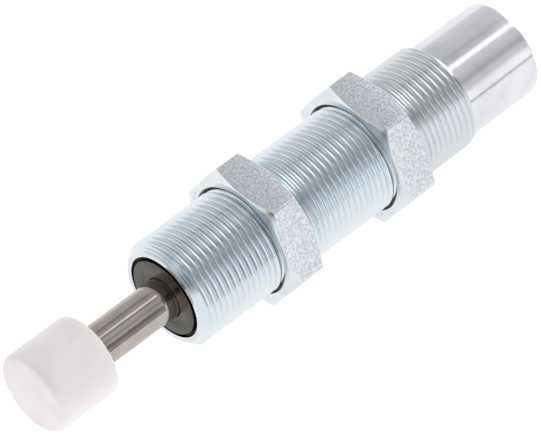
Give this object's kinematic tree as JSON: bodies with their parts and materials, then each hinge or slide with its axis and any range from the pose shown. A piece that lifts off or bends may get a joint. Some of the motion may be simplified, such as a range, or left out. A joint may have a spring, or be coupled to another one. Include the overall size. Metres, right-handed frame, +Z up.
{
  "type": "industrial shock absorber",
  "caption": "Threaded cylindrical shock absorber with a sprung piston rod, plastic buffer cap and two hexagonal lock nuts.",
  "frame": {"origin": "on the axis, at the front rim of the housing where the piston rod comes out", "axes": "+X along the axis out of the housing to the buffer cap, +Z up, square to the upper flat of both lock nuts"},
  "size_m": [0.0876, 0.022, 0.019],
  "materials": {
    "zinc_plated_steel": "bright zinc plate, slightly blue",
    "nut_steel": "matt zinc plate",
    "white_plastic": "matt",
    "ground_steel": "ground and polished",
    "dark_steel": "dark, satin",
    "black_spring_steel": "black, oiled",
    "seal_rubber": "matt",
    "plain_steel": "turned",
    "bronze": "turned",
    "foam_rubber": "closed-cell foam",
    "hardened_steel": "hardened and ground",
    "spring_wire": "drawn wire",
    "copper": "soft copper"
  },
  "bodies": {
    "housing_group": {"housing": "zinc_plated_steel", "front_cover": "dark_steel", "retaining_ring": "black_spring_steel", "wiper_ring": "seal_rubber", "rod_seal": "seal_rubber", "seal_washer": "plain_steel", "bearing_carrier": "plain_steel", "rod_bearing": "bronze", "carrier_o_ring": "seal_rubber", "accumulator_foam": "foam_rubber", "pressure_tube": "hardened_steel", "return_spring": "spring_wire", "spring_seat": "hardened_steel", "tube_base": "plain_steel", "filler_screw": "plain_steel", "filler_washer": "copper"},
    "rod_group": {"piston_rod": "ground_steel", "buffer_cap": "white_plastic", "piston": "hardened_steel", "piston_clip": "black_spring_steel"},
    "check_ring_group": {"check_ring": "bronze"},
    "front_nut_group": {"front_lock_nut": "nut_steel"},
    "rear_nut_group": {"rear_lock_nut": "nut_steel"}
  },
  "joints": [
    {"name": "rod_stroke", "type": "slide", "parent": "housing_group", "child": "rod_group", "axis": [-1, 0, 0], "range_m": [0, 0.012], "stiffness_N_per_m": 800, "springref_m": -0.01, "deforming": ["return_spring"]},
    {"name": "check_ring_float", "type": "slide", "parent": "rod_group", "child": "check_ring_group", "axis": [1, 0, 0], "range_m": [-0.0003, 0.0003]},
    {"name": "front_nut_travel", "type": "slide", "parent": "housing_group", "child": "front_nut_group", "axis": [1, 0, 0], "range_m": [-0.007, 0.0129]},
    {"name": "rear_nut_travel", "type": "slide", "parent": "housing_group", "child": "rear_nut_group", "axis": [-1, 0, 0], "range_m": [-0.007, 0.0096]}
  ]
}
